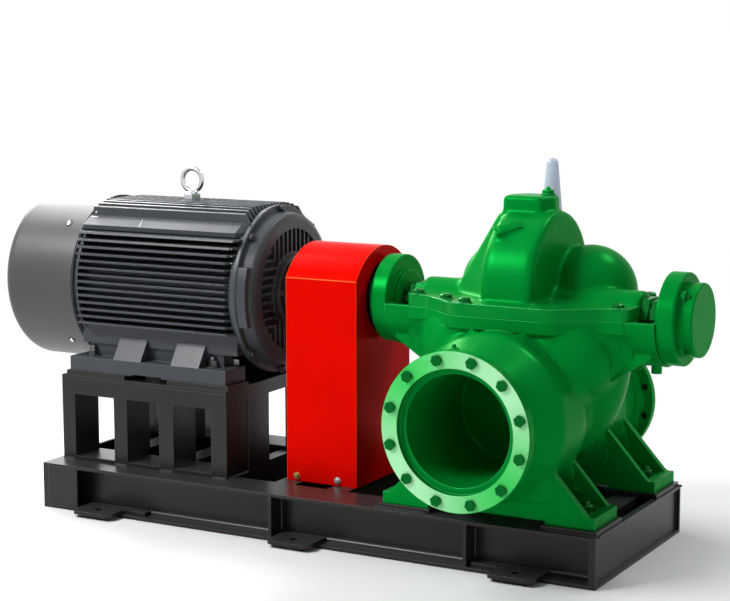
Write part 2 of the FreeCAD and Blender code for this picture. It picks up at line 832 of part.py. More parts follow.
def flange_bolt_holes(pcd, hole_radius, thickness, reach, z, side):
    holes = []
    low, high = sorted((shaft_y + side * (reach + 1), shaft_y + side * (reach - thickness - 1)))
    for index in range(flange_holes):
        angle = 2 * math.pi * (index + 0.5) / flange_holes
        holes.append(rod_y(low, high, hole_radius, pump_x + pcd / 2 * math.sin(angle),
                           z + pcd / 2 * math.cos(angle)))
    return holes


def foot_web_profile():
    """Side view of a foot web: the foot's full length at the bottom, sloping in to the casing above."""
    base = pad_top + foot_height
    return [
        (-foot_half_length, pad_top + foot_relief, 0), (foot_half_length, pad_top + foot_relief, 0),
        (foot_half_length, base, 0), (foot_web_base_half, base, foot_web_round),
        (foot_web_top_half, foot_web_top_z, 0),
        (-foot_web_top_half, foot_web_top_z, 0), (-foot_web_base_half, base, foot_web_round),
        (-foot_half_length, base, 0),
    ]


def pump_foot(side):
    """One long foot with raised toes at its ends and two sloped webs, flush with its edges."""
    outer = shaft_y + side * foot_outer
    inner = shaft_y + side * foot_inner
    low, high = sorted((outer, inner))
    base = pad_top + foot_height
    plate = block(pump_x - foot_half_length, pump_x + foot_half_length, low, high, pad_top,
                  base - foot_pocket)
    relief = block(pump_x - foot_relief_half, pump_x + foot_relief_half, low, high, pad_top,
                   pad_top + foot_relief)
    pieces = [plate.cut(relief)]
    for x_low in (pump_x - foot_half_length, pump_x + foot_half_length - foot_toe):
        pieces.append(block(x_low, x_low + foot_toe, low, high, pad_top, base))
    for edge, inward, thickness in ((outer, -side, foot_web), (inner, side, foot_web_inner)):
        web = rounded_face(foot_web_profile(), Vec(pump_x, edge, 0), X_DIR, Z_DIR)
        pieces.append(web.extrude(Y_DIR * inward * thickness))
    return pieces


def bearing_arm(side):
    """Half-round arm, open on top, from the bowl to the bearing housing."""
    low, high = sorted((pump_x + side * arm_start, pump_x + side * arm_end))
    arm = rod_x(low, high, arm_radius)
    low, high = sorted((pump_x + side * split_half_length, pump_x + side * housing_hub_start))
    trough = rod_x(low, high, arm_radius - arm_wall)
    low, high = sorted((pump_x + side * housing_hub_start, pump_x + side * arm_end))
    seat = rod_x(low, high, housing_hub_radius)
    drain = rod_z(shaft_z - arm_radius - arm_drain_drop, shaft_z - arm_radius + 10, arm_drain_radius,
                  pump_x + side * arm_drain_x, shaft_y)
    return arm.fuse(drain).cut(trough).cut(seat)


def arm_gusset(side, edge):
    """Triangular plate that ties the suction chamber to the underside of an arm; edge is -1 at the front."""
    profile = [
        (arm_gusset_root, arm_gusset_top, 0), (arm_gusset_tip, arm_gusset_top, 0),
        (arm_gusset_tip, arm_gusset_edge, 0), (arm_gusset_foot_x, arm_gusset_foot_z, 0),
        (arm_gusset_root, arm_gusset_foot_z, 0),
    ]
    origin = Vec(pump_x, shaft_y + edge * arm_gusset_y - arm_gusset_thickness / 2, 0)
    return rounded_face(profile, origin, X_DIR * side, Z_DIR).extrude(Y_DIR * arm_gusset_thickness)


def suction_chamber(side):
    """Bulge of the lower casing where the water turns towards one side of the impeller."""
    centre = Vec(pump_x + side * chamber_offset, shaft_y - chamber_front, shaft_z - chamber_drop)
    return Part.makeSphere(chamber_radius, centre)


def lower_casing():
    pieces = [split_outline(shaft_z - split_flange).extrude(Z_DIR * split_flange), bowl()]
    pieces += branch(suction_neck_radius, suction_flare, suction_flange_radius, suction_flange_thickness,
                     suction_reach, suction_z, -1)
    pieces += branch(discharge_neck_radius, discharge_flare, discharge_flange_radius,
                     discharge_flange_thickness,
                     discharge_reach, discharge_z, 1)
    for side in (-1, 1):
        pieces += pump_foot(side)
        pieces.append(bearing_arm(side))
        pieces.append(suction_chamber(side))
        for edge in (-1, 1):
            pieces.append(arm_gusset(side, edge))
    casing = joined(pieces)
    top = block(pump_x - casing_reach, pump_x + casing_reach, shaft_y - suction_reach,
                shaft_y + suction_reach, shaft_z,
                shaft_z + suction_reach)
    casing = casing.cut(top)
    casing = casing.cut(branch_bore(suction_bore_radius, suction_reach, suction_z, -1))
    casing = casing.cut(rod_y(suction_face - 1, suction_face + suction_recess_depth,
                              suction_recess_radius, pump_x, suction_z))
    casing = casing.cut(branch_bore(discharge_bore_radius, discharge_reach, discharge_z, 1))
    casing = casing.cut(rod_x(pump_x - casing_reach, pump_x + casing_reach, pump_shaft_radius))
    holes = flange_bolt_holes(suction_pcd, suction_hole_radius, suction_flange_thickness, suction_reach,
                              suction_z, -1)
    holes += flange_bolt_holes(discharge_pcd, discharge_hole_radius, discharge_flange_thickness,
                               discharge_reach,
                               discharge_z, 1)
    for side in (-1, 1):
        for x in (pump_x - foot_hole_x, pump_x + foot_hole_x):
            y = shaft_y + side * (foot_inner + foot_outer) / 2
            holes.append(rod_z(pad_top - 1, pad_top + foot_height + 1, foot_hole_radius, x, y))
    return casing.cut(Part.makeCompound(holes))


def volute():
    """Tall half-round volute, rounded wide on the drive side and narrow on the free side."""
    left = Vec(pump_x - volute_left_width, shaft_y + volute_centre_y - volute_radius, shaft_z)
    left_top = left + Z_DIR * volute_centre_z
    crown = left_top + Vec(0, volute_radius, volute_radius)
    right_top = left_top + Y_DIR * 2 * volute_radius
    right = left + Y_DIR * 2 * volute_radius
    wire = Part.Wire([Part.LineSegment(left, left_top).toShape(),
                      Part.Arc(left_top, crown, right_top).toShape(),
                      Part.LineSegment(right_top, right).toShape(), Part.LineSegment(right, left).toShape()])
    body = Part.Face(wire).extrude(X_DIR * (volute_left_width + volute_right_width))
    for x, radius in ((pump_x - volute_left_width, volute_left_round),
                      (pump_x + volute_right_width, volute_right_round)):
        edges = []
        for edge in body.Edges:
            flat = abs(edge.BoundBox.XMin - x) < 0.01 and edge.BoundBox.XLength < 0.01
            if flat and edge.BoundBox.ZLength > volute_centre_z - 1:
                edges.append(edge)
        body = body.makeFillet(radius, edges)
    return body


def top_boss():
    """Flat seat on the crown of the volute for the plug and the priming tube."""
    outline = [(-92, -29, 18), (30, -30, 6), (55, 20, 10), (47, 80, 14), (-57, 92, 20), (-99, 42, 20)]
    foot = volute_top - 70
    face = rounded_face(outline, Vec(pump_x, shaft_y, foot), X_DIR, Y_DIR)
    boss = face.extrude(Z_DIR * (70 + top_boss_height))
    rim = [edge for edge in boss.Edges if edge.BoundBox.ZMin > volute_top + top_boss_height - 1]
    return boss.makeFillet(7, rim)


def volute_flank():
    """Sloped shoulder that spreads the drive side of the volute down onto the flange."""
    low = [(-266, -35, 30), (-60, -182, 10), (-60, 215, 10), (-266, 70, 30)]
    high = [(-105, -25, 14), (-60, -36, 6), (-60, 100, 6), (-105, 88, 14)]
    base = rounded_face(low, Vec(pump_x, shaft_y, shaft_z), X_DIR, Y_DIR).OuterWire
    top = rounded_face(high, Vec(pump_x, shaft_y, flank_top), X_DIR, Y_DIR).OuterWire
    return Part.makeLoft([base, top], True, True)


def lifting_wedge():
    """Wedge-shaped lug set slantwise on the front of the volute."""
    turn = math.radians(lug_angle)
    outward = Vec(0, -math.sin(turn), math.cos(turn))
    upward = Vec(0, math.cos(turn), math.sin(turn))
    along = X_DIR * 0.78 + upward * 0.62
    along.normalize()
    across = outward.cross(along)
    start = Vec(pump_x + lug_left, shaft_y + volute_centre_y,
                shaft_z + volute_centre_z) + outward * volute_radius
    profile = [(0, -24, 0), (0, lug_wedge_height, 5), (24, lug_wedge_height, 6), (lug_wedge_length, 0, 0),
               (lug_wedge_length, -24, 0)]
    face = rounded_face(profile, start - across * (lug_wedge_width / 2), along, outward)
    return face.extrude(across * lug_wedge_width)


def upper_casing():
    flange = split_outline(shaft_z).extrude(Z_DIR * split_flange)
    pieces = [flange, volute(), volute_flank(), top_boss(), lifting_wedge()]
    for side in (-1, 1):
        centre = Vec(pump_x + side * dome_offset, shaft_y + dome_back, shaft_z + dome_rise)
        dome = Part.makeSphere(dome_radius, centre)
        skirt = rod_z(shaft_z, shaft_z + dome_rise, dome_radius, centre.x, centre.y)
        pieces += [dome, skirt]
        low, high = sorted((pump_x, pump_x + side * split_half_length))
        pieces.append(rod_x(low, high, box_radius))
    casing = joined(pieces)
    casing = casing.cut(block(pump_x - casing_reach, pump_x + casing_reach, shaft_y - suction_reach,
                              shaft_y + suction_reach, shaft_z - suction_reach, shaft_z))
    return casing.cut(rod_x(pump_x - casing_reach, pump_x + casing_reach, pump_shaft_radius)).removeSplitter()


def priming_tube():
    """Clear sight tube, slightly tapered, with a round top; it stands behind the plug on the boss."""
    centre = Vec(pump_x + tube_x, shaft_y + tube_y, tube_base)
    cone = Part.makeCone(tube_radius, tube_top_radius, tube_height, centre, Z_DIR)
    return cone.fuse(Part.makeSphere(tube_top_radius, centre + Z_DIR * tube_height))


def six_sided(x_low, x_high, corner_radius, bore):
    """Hexagonal sleeve along the shaft."""
    points = []
    for index in range(7):
        angle = math.radians(60 * index)
        points.append(Vec(x_low, shaft_y + corner_radius * math.cos(angle),
                          shaft_z + corner_radius * math.sin(angle)))
    sleeve = Part.Face(Part.makePolygon(points)).extrude(X_DIR * (x_high - x_low))
    return sleeve.cut(rod_x(x_low - 1, x_high + 1, bore))


def gland(side):
    """Packing gland: a large six-sided collar, a round step and a smaller six-sided end."""
    start = pump_x + side * split_half_length
    step = start + side * gland_length * 0.5
    groove = start + side * gland_length * 0.64
    end = start + side * gland_length
    low, high = sorted((start, step))
    pieces = [six_sided(low, high, gland_radius + 4, pump_shaft_radius)]
    low, high = sorted((step, groove))
    pieces.append(rod_x(low, high, gland_radius - 10).cut(rod_x(low - 1, high + 1, pump_shaft_radius)))
    low, high = sorted((groove, end))
    pieces.append(six_sided(low, high, gland_radius - 2, pump_shaft_radius))
    return joined(pieces)


def bearing_housing(side):
    hub = side * housing_hub_start
    arm = side * arm_end
    ring = side * housing_ring_end
    outline = [
        (hub, pump_shaft_radius, 0), (hub, housing_hub_radius, 4), (arm, housing_hub_radius, 0),
        (arm, housing_ring_radius, 4), (ring, housing_ring_radius, 6), (ring, pump_shaft_radius, 0),
    ]
    return turned_x(outline, pump_x)


def end_cap():
    """Closed bearing cap with four round lobes for its screws."""
    start = housing_ring_end
    cap = turned_x([(start, 0, 0), (start, cap_radius, 0), (start + cap_length, cap_radius, 6),
                    (start + cap_length, 0, 0)],
                   pump_x)
    pieces = [cap]
    for index in range(cap_lobes):
        angle = 2 * math.pi * (index + 0.5) / cap_lobes
        pieces.append(rod_x(pump_x + start, pump_x + start + cap_lobe_length, cap_lobe_radius,
                            shaft_y + cap_lobe_circle * math.cos(angle),
                            shaft_z + cap_lobe_circle * math.sin(angle)))
    return joined(pieces)


def drive_cover():
    start = -housing_ring_end
    outline = [
        (start, pump_shaft_radius + 2, 0), (start, drive_cover_radius, 0),
        (start - drive_cover_length, drive_cover_radius, 5),
        (start - drive_cover_length, pump_shaft_radius + 2, 0),
    ]
    return turned_x(outline, pump_x)


# Base frame
save(beam(beam_front, 1), "base_beam_front")
save(beam(beam_rear, -1), "base_beam_rear")
save(end_channel(-1), "base_end_left")
save(end_channel(1), "base_end_right")
save(Part.makeCompound([cross_member(x) for x in cross_places]), "base_cross_members")
save(Part.makeCompound(corner_plates()), "base_corner_plates")
save(Part.makeCompound([stiffener(x, side) for x in stiffener_places for side in (-1, 1)]), "base_stiffeners")
lug_places = [-lug_spacing, 0.0, lug_spacing]
lugs = []
for x in lug_places:
    for side in (-1, 1):
        lugs.append(anchor_lug(x, side, (x < 0) - (x > 0)))
save(Part.makeCompound(lugs), "anchor_lugs")
pads = []
for side in (-1, 1):
    low, high = sorted((shaft_y + side * (foot_outer + pad_margin),
                        shaft_y + side * (foot_inner - pad_margin)))
    high = min(high, beam_rear)
    for x_low in (pump_x - foot_half_length - pad_margin,
                  pump_x + foot_half_length + pad_margin - pad_length):
        pads.append(block(x_low, x_low + pad_length, low, high, base_height, pad_top))
save(Part.makeCompound(pads), "pump_pads")

# Motor stand
save(stand_frame(stand_front, stand_windows), "stand_front_frame")
save(stand_frame(stand_rear - stand_leg_depth, stand_windows), "stand_rear_frame")
save(stand_end(stand_left, False), "stand_end_left")
save(stand_end(stand_right - stand_plate, True), "stand_end_right")
save(block(stand_left, stand_right, stand_front, stand_rear, stand_top - stand_plate, stand_top),
     "stand_top_plate")
packings = []
for side in (-1, 1):
    low, high = sorted((shaft_y + side * (motor_foot_half_width + 4),
                        shaft_y + side * (motor_foot_half_width - motor_foot_width)))
    reach = motor_foot_length / 2 + packing_margin
    for x_low in (motor_middle - reach, motor_middle + reach - packing_length):
        packings.append(block(x_low, x_low + packing_length, low, high, stand_top, motor_foot_z))
save(Part.makeCompound(packings), "packing_plates")

# Motor
save(motor_frame(), "motor_frame")
save(motor_foot(-1), "motor_foot_front")
save(motor_foot(1), "motor_foot_rear")
save(fan_shield(), "motor_fan_shield")
save(drive_shield(), "motor_drive_shield")
save(bearing_cap(), "motor_bearing_cap")
save(fan_cover(), "fan_cover")
save(cooling_fan(), "cooling_fan")
save(rod_x(fan_left - 4, coupling_middle - coupling_gap / 2, motor_shaft_radius), "motor_shaft")
save(lifting_eye(), "lifting_eye")
box, lid = terminal_box()
save(box, "terminal_box")
save(lid, "terminal_box_lid")

# Coupling and guard
save(coupling_half(-1, motor_shaft_radius), "coupling_half_motor")
save(coupling_half(1, pump_shaft_radius), "coupling_half_pump")
save(coupling_pin_set(), "coupling_pins")
save(coupling_guard(), "coupling_guard")

# Pump
save(rod_x(coupling_middle + coupling_gap / 2, pump_x + housing_ring_end, pump_shaft_radius), "pump_shaft")
save(lower_casing(), "lower_casing")
save(upper_casing(), "upper_casing")
save(gland(-1), "gland_drive_side")
save(gland(1), "gland_free_side")
save(bearing_housing(-1), "bearing_housing_drive")
save(bearing_housing(1), "bearing_housing_free")
save(drive_cover(), "bearing_cover_drive")
save(end_cap(), "bearing_cap_free")
save(priming_tube().cut(upper_casing()), "priming_tube")
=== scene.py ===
import math

import bmesh
import bpy
from mathutils import Matrix, Vector
from mathutils.bvhtree import BVHTree


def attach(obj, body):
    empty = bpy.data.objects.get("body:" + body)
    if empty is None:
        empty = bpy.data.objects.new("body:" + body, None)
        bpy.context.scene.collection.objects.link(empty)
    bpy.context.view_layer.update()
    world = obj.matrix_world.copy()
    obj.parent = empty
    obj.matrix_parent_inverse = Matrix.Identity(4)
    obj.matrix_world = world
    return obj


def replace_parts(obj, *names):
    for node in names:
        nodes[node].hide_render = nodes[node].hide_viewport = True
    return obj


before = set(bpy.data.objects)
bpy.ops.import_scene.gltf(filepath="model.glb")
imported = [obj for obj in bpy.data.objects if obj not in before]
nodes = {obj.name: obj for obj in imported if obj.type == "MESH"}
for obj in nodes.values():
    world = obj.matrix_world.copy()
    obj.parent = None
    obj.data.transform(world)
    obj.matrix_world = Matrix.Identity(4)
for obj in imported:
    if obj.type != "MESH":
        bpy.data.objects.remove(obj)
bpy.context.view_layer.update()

# Studio. The set stands on a plain pale floor. A soft lamp from the upper left front lights it,
# two behind draw the bright top edges, one above the motor brightens its fan cover, and a weak
# one lifts the right side.
scene = bpy.context.scene
scene.view_settings.view_transform = "Standard"

camera_data = bpy.data.cameras.new("studio_camera")
camera_data.sensor_width = 36.0
camera_data.lens = 90.65
camera_data.clip_end = 60.0
camera = bpy.data.objects.new("studio_camera", camera_data)
camera.location = (2.7293, -4.8434, 1.4965)
camera.rotation_euler = (math.radians(81.7), math.radians(0.1), math.radians(29.0))
scene.collection.objects.link(camera)
scene.camera = camera


def soft_lamp(name, at, towards, width, watts):
    lamp_data = bpy.data.lights.new(name, "AREA")
    lamp_data.shape = "RECTANGLE"
    lamp_data.size, lamp_data.size_y = width, width * 0.7
    lamp_data.energy = watts
    lamp = bpy.data.objects.new(name, lamp_data)
    lamp.location = at
    lamp.rotation_euler = (Vector(towards) - Vector(at)).to_track_quat("-Z", "Y").to_euler()
    scene.collection.objects.link(lamp)


soft_lamp("key_lamp", (-2.6, -3.6, 4.2), (0.1, 0.0, 0.5), 2.2, 262)
soft_lamp("rim_lamp", (-4.3, 2.7, 3.2), (-0.3, 0.0, 0.8), 2.6, 230)
soft_lamp("top_lamp", (2.1, 2.4, 5.0), (0.6, 0.0, 0.9), 1.5, 80)
soft_lamp("motor_lamp", (-2.75, 0.3, 4.0), (-0.9, 0.0, 0.9), 1.9, 80)
soft_lamp("fill_lamp", (4.6, -2.4, 2.6), (0.2, 0.0, 0.5), 2.4, 8)


def white_backdrop(tree):
    seen = tree.nodes.new("ShaderNodeLightPath")
    plain = tree.nodes.new("ShaderNodeMath")
    plain.operation = "ADD"
    tree.links.new(seen.outputs["Is Camera Ray"], plain.inputs[0])
    tree.links.new(seen.outputs["Is Glossy Ray"], plain.inputs[1])
    either = tree.nodes.new("ShaderNodeMath")
    either.operation = "ADD"
    either.use_clamp = True
    tree.links.new(plain.outputs["Value"], either.inputs[0])
    tree.links.new(seen.outputs["Is Transmission Ray"], either.inputs[1])
    return either.outputs["Value"]


world = bpy.data.worlds.new("studio_world")
scene.world = world
world.use_nodes = True
air = world.node_tree
air.nodes.clear()
air_out = air.nodes.new("ShaderNodeOutputWorld")
air_light = air.nodes.new("ShaderNodeBackground")
air_light.inputs["Color"].default_value = (0.93, 0.96, 1.0, 1)
air_light.inputs["Strength"].default_value = 0.17
air_white = air.nodes.new("ShaderNodeBackground")
air_white.inputs["Color"].default_value = (1, 1, 1, 1)
air_white.inputs["Strength"].default_value = 1.0
air_mix = air.nodes.new("ShaderNodeMixShader")
air.links.new(white_backdrop(air), air_mix.inputs["Fac"])
air.links.new(air_light.outputs["Background"], air_mix.inputs[1])
air.links.new(air_white.outputs["Background"], air_mix.inputs[2])
air.links.new(air_mix.outputs["Shader"], air_out.inputs["Surface"])

floor_size = 20.0
floor_drop = 0.0005
floor_mesh = bmesh.new()
bmesh.ops.create_grid(floor_mesh, x_segments=2, y_segments=2, size=floor_size,
                      matrix=Matrix.Translation((0, 0, -floor_drop)))
floor_data = bpy.data.meshes.new("studio_floor")
floor_mesh.to_mesh(floor_data)
floor_mesh.free()
floor = bpy.data.objects.new("studio_floor", floor_data)
scene.collection.objects.link(floor)

floor_paint = bpy.data.materials.new("studio_floor_paint")
floor_paint.use_nodes = True
tree = floor_paint.node_tree
tree.nodes.clear()
floor_out = tree.nodes.new("ShaderNodeOutputMaterial")
floor_matt = tree.nodes.new("ShaderNodeBsdfDiffuse")
floor_matt.inputs["Color"].default_value = (0.93, 0.93, 0.93, 1)
floor_far = tree.nodes.new("ShaderNodeEmission")
floor_far.inputs["Color"].default_value = (1, 1, 1, 1)
floor_far.inputs["Strength"].default_value = 1.0
where = tree.nodes.new("ShaderNodeTexCoord")
reach = tree.nodes.new("ShaderNodeVectorMath")
reach.operation = "LENGTH"
fade = tree.nodes.new("ShaderNodeMapRange")
white_from, white_beyond = 0.9, 2.2
fade.inputs["From Min"].default_value = white_from
fade.inputs["From Max"].default_value = white_beyond
share = tree.nodes.new("ShaderNodeMath")
share.operation = "MULTIPLY"
blend = tree.nodes.new("ShaderNodeMixShader")
tree.links.new(where.outputs["Object"], reach.inputs[0])
tree.links.new(reach.outputs["Value"], fade.inputs["Value"])
tree.links.new(fade.outputs["Result"], share.inputs[0])
tree.links.new(white_backdrop(tree), share.inputs[1])
tree.links.new(share.outputs["Value"], blend.inputs["Fac"])
tree.links.new(floor_matt.outputs["BSDF"], blend.inputs[1])
tree.links.new(floor_far.outputs["Emission"], blend.inputs[2])
tree.links.new(blend.outputs["Shader"], floor_out.inputs["Surface"])
floor.data.materials.append(floor_paint)


# Base frame. Rolled steel beams, cut plates and lugs are welded into one frame and sprayed
# with satin black paint, with a painted highlight along its upper edges and on its tops. Sizes
# are in millimetres.
MM = 0.001


def sprayed_paint(name, colour, rim_colour, gloss, gleam=0.5, gleam_tint=(1, 1, 1), flake=0.0,
                  edge_round=1.5, casting=0.0, top_sheen=0.0):
    paint = bpy.data.materials.new(name)
    paint.use_nodes = True
    made = paint.node_tree
    shader = made.nodes["Principled BSDF"]
    shader.inputs["Specular IOR Level"].default_value = gleam
    shader.inputs["Metallic"].default_value = flake
    shader.inputs["Specular Tint"].default_value = (*gleam_tint, 1)
    place = made.nodes.new("ShaderNodeTexCoord")
    cloud = made.nodes.new("ShaderNodeTexNoise")
    cloud.inputs["Scale"].default_value = 6.0
    cloud.inputs["Detail"].default_value = 6.0
    peel = made.nodes.new("ShaderNodeTexNoise")
    peel.inputs["Scale"].default_value = 260.0
    peel.inputs["Detail"].default_value = 2.0
    made.links.new(place.outputs["Object"], cloud.inputs["Vector"])
    made.links.new(place.outputs["Object"], peel.inputs["Vector"])

    tone = made.nodes.new("ShaderNodeMapRange")
    tone.inputs["To Min"].default_value = 0.84
    tone.inputs["To Max"].default_value = 1.16
    made.links.new(cloud.outputs["Fac"], tone.inputs["Value"])
    body_colour = made.nodes.new("ShaderNodeMix")
    body_colour.data_type = "RGBA"
    body_colour.blend_type = "MULTIPLY"
    body_colour.inputs["Factor"].default_value = 1.0
    body_colour.inputs["A"].default_value = (*colour, 1)
    made.links.new(tone.outputs["Result"], body_colour.inputs["B"])

    soft_edge = made.nodes.new("ShaderNodeBevel")
    soft_edge.samples = 6
    soft_edge.inputs["Radius"].default_value = edge_round * MM
    flat = made.nodes.new("ShaderNodeNewGeometry")
    turn = made.nodes.new("ShaderNodeVectorMath")
    turn.operation = "DOT_PRODUCT"
    made.links.new(soft_edge.outputs["Normal"], turn.inputs[0])
    made.links.new(flat.outputs["Normal"], turn.inputs[1])
    rim = made.nodes.new("ShaderNodeMapRange")
    rim.inputs["From Min"].default_value = 0.97
    rim.inputs["From Max"].default_value = 0.78
    made.links.new(turn.outputs["Value"], rim.inputs["Value"])
    faces_to = made.nodes.new("ShaderNodeSeparateXYZ")
    made.links.new(soft_edge.outputs["Normal"], faces_to.inputs["Vector"])
    lit_from_above = made.nodes.new("ShaderNodeMapRange")
    lit_from_above.inputs["From Min"].default_value = -0.35
    lit_from_above.inputs["From Max"].default_value = -0.10
    made.links.new(faces_to.outputs["Z"], lit_from_above.inputs["Value"])
    # Edges that face upwards are mixed towards the paler rim colour, a painted highlight.
    painted_edge_highlight = made.nodes.new("ShaderNodeMath")
    painted_edge_highlight.operation = "MULTIPLY"
    made.links.new(rim.outputs["Result"], painted_edge_highlight.inputs[0])
    made.links.new(lit_from_above.outputs["Result"], painted_edge_highlight.inputs[1])
    edge_mix = made.nodes.new("ShaderNodeMix")
    edge_mix.data_type = "RGBA"
    edge_mix.inputs["B"].default_value = (*rim_colour, 1)
    made.links.new(painted_edge_highlight.outputs["Value"], edge_mix.inputs["Factor"])
    made.links.new(body_colour.outputs["Result"], edge_mix.inputs["A"])
    made.links.new(edge_mix.outputs["Result"], shader.inputs["Base Color"])

    # Faces that look up are mixed towards a pale blue grey, a painted highlight on their tops.
    if top_sheen:
        up = made.nodes.new("ShaderNodeSeparateXYZ")
        made.links.new(flat.outputs["Normal"], up.inputs["Vector"])
        level = made.nodes.new("ShaderNodeMapRange")
        level.inputs["From Min"].default_value = 0.5
        level.inputs["From Max"].default_value = 1.0
        level.inputs["To Max"].default_value = top_sheen
        made.links.new(up.outputs["Z"], level.inputs["Value"])
        top_sheen_mix = made.nodes.new("ShaderNodeMix")
        top_sheen_mix.data_type = "RGBA"
        top_sheen_mix.inputs["B"].default_value = (0.30, 0.36, 0.38, 1)
        made.links.new(level.outputs["Result"], top_sheen_mix.inputs["Factor"])
        made.links.new(edge_mix.outputs["Result"], top_sheen_mix.inputs["A"])
        made.links.new(top_sheen_mix.outputs["Result"], shader.inputs["Base Color"])

    rough = made.nodes.new("ShaderNodeMapRange")
    rough.inputs["To Min"].default_value = max(0.05, gloss - 0.07)
    rough.inputs["To Max"].default_value = gloss + 0.09
    made.links.new(cloud.outputs["Fac"], rough.inputs["Value"])
    made.links.new(rough.outputs["Result"], shader.inputs["Roughness"])
    bump = made.nodes.new("ShaderNodeBump")
    bump.inputs["Strength"].default_value = 0.10
    bump.inputs["Distance"].default_value = 0.4 * MM
    made.links.new(peel.outputs["Fac"], bump.inputs["Height"])
    made.links.new(soft_edge.outputs["Normal"], bump.inputs["Normal"])
    made.links.new(bump.outputs["Normal"], shader.inputs["Normal"])
    if casting:
        sand = made.nodes.new("ShaderNodeTexNoise")
        sand.inputs["Scale"].default_value = 30.0
        sand.inputs["Detail"].default_value = 5.0
        made.links.new(place.outputs["Object"], sand.inputs["Vector"])
        uneven = made.nodes.new("ShaderNodeBump")
        uneven.inputs["Strength"].default_value = 0.5
        uneven.inputs["Distance"].default_value = casting * MM
        made.links.new(sand.outputs["Fac"], uneven.inputs["Height"])
        made.links.new(bump.outputs["Normal"], uneven.inputs["Normal"])
        made.links.new(uneven.outputs["Normal"], shader.inputs["Normal"])
    return paint


def dress(finish, *names):
    for name in names:
        piece = nodes[name]
        piece.data.materials.clear()
        piece.data.materials.append(finish)


def finish_piece(name, mesh, finish):
    bmesh.ops.recalc_face_normals(mesh, faces=mesh.faces[:])
    data = bpy.data.meshes.new(name)
    mesh.to_mesh(data)
    mesh.free()
    data.materials.append(finish)
    piece = bpy.data.objects.new(name, data)
    scene.collection.objects.link(piece)
    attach(piece, "root")
    return piece


def seat(at, axis, turn=0.0):
    lean = Vector(axis).normalized().to_track_quat("Z", "Y").to_matrix().to_4x4()
    return Matrix.Translation(Vector(at) * MM) @ lean @ Matrix.Rotation(turn, 4, "Z")


def turned(mesh, on, low, high, radius, top_radius=None, sides=24):
    top_radius = radius if top_radius is None else top_radius
    middle = on @ Matrix.Translation((0, 0, (low + high) / 2 * MM))
    return bmesh.ops.create_cone(mesh, cap_ends=True, segments=sides, radius1=radius * MM,
                                 radius2=top_radius * MM, depth=(high - low) * MM, matrix=middle)


def weld_bead(mesh, start, end, leg=6.0):
    run = Vector(end) - Vector(start)
    ripples = max(2, round(run.length / (leg * 0.9)))
    step = run.length / ripples
    on = seat(start, run)
    for ripple in range(ripples):
        turned(mesh, on, ripple * step, (ripple + 1.25) * step, leg, leg * 0.7, sides=8)


base_black = sprayed_paint("base_black", (0.013, 0.012, 0.0105), (0.10, 0.12, 0.12), 0.30,
                           gleam=0.32, top_sheen=0.06)
dress(base_black, "base_beam_front", "base_beam_rear", "base_end_left", "base_end_right",
      "base_cross_members", "base_corner_plates", "base_stiffeners", "anchor_lugs", "pump_pads")

beam_top, beam_flange, web_face = 144, 10, 279
lug_places, lug_half_length = (-713, 0, 713), 73
lug_weld_inner, lug_weld_outer = 293, 337
stiffener_places, stiffener_thickness = (-99, 543), 10
stiffener_weld_low, stiffener_weld_high = 24, 120
pump_foot_places = (330, 866)
pad_half_length, pad_edges = 80, {-1: 319, 1: 335}
base_welds = bmesh.new()
for side in (-1, 1):
    for lug_x in lug_places:
        for weld_x in (lug_x - lug_half_length, lug_x + lug_half_length):
            weld_bead(base_welds, (weld_x, side * lug_weld_inner, beam_flange),
                      (weld_x, side * lug_weld_outer, beam_flange), leg=5)
    for plate_x in stiffener_places:
        for weld_x in (plate_x, plate_x + stiffener_thickness):
            weld_bead(base_welds, (weld_x, side * web_face, stiffener_weld_low),
                      (weld_x, side * web_face, stiffener_weld_high), leg=5)
    for foot_x in pump_foot_places:
        weld_bead(base_welds, (foot_x - pad_half_length, side * pad_edges[side], beam_top),
                  (foot_x + pad_half_length, side * pad_edges[side], beam_top), leg=4)
finish_piece("base_welds", base_welds, base_black)


# Motor stand. Plate frames with four hollow legs a side carry the motor at the pump's shaft
# height. They are welded to the beams and have the same satin black paint.
dress(base_black, "stand_front_frame", "stand_rear_frame", "stand_end_left",
      "stand_end_right", "stand_top_plate", "packing_plates")

stand_front, stand_rear = -255, 303
stand_left, stand_right = -924, -299
leg_spans = ((-920, -880), (-718, -676), (-546, -500), (-350, -303))
end_panel_spans = ((-250, -140), (190, 298))
corner_places, corner_weld_x = (-133, 181), -301
corner_weld_low, corner_weld_high = 158, 370
stand_welds = bmesh.new()
for face_y in (stand_front, stand_rear):
    for left, right in leg_spans:
        weld_bead(stand_welds, (left, face_y, beam_top), (right, face_y, beam_top))
for near, far in end_panel_spans:
    for end_x in (stand_right, stand_left):
        weld_bead(stand_welds, (end_x, near, beam_top), (end_x, far, beam_top))
for corner_y in corner_places:
    weld_bead(stand_welds, (corner_weld_x, corner_y, corner_weld_low),
              (corner_weld_x, corner_y, corner_weld_high), leg=4)
finish_piece("stand_welds", stand_welds, base_black)


# Motor. The finned frame, feet, end shields and terminal box are iron castings in satin dark
# grey paint, and the fan cover is pressed sheet in a lighter silver grey.
motor_grey = sprayed_paint("motor_grey", (0.042, 0.047, 0.055), (0.34, 0.38, 0.42), 0.36,
                           gleam=0.33, edge_round=1.3, casting=0.25, top_sheen=0.04)
dress(motor_grey, "motor_frame", "motor_foot_front", "motor_foot_rear", "motor_fan_shield",
      "motor_drive_shield", "motor_bearing_cap", "terminal_box", "terminal_box_lid")
cover_grey = sprayed_paint("cover_grey", (0.045, 0.047, 0.049), (0.45, 0.46, 0.47), 0.38,
                           gleam=0.6, flake=0.12)
dress(cover_grey, "fan_cover")
fan_plastic = sprayed_paint("fan_plastic", (0.012, 0.012, 0.012), (0.03, 0.03, 0.03), 0.5)
dress(fan_plastic, "cooling_fan")


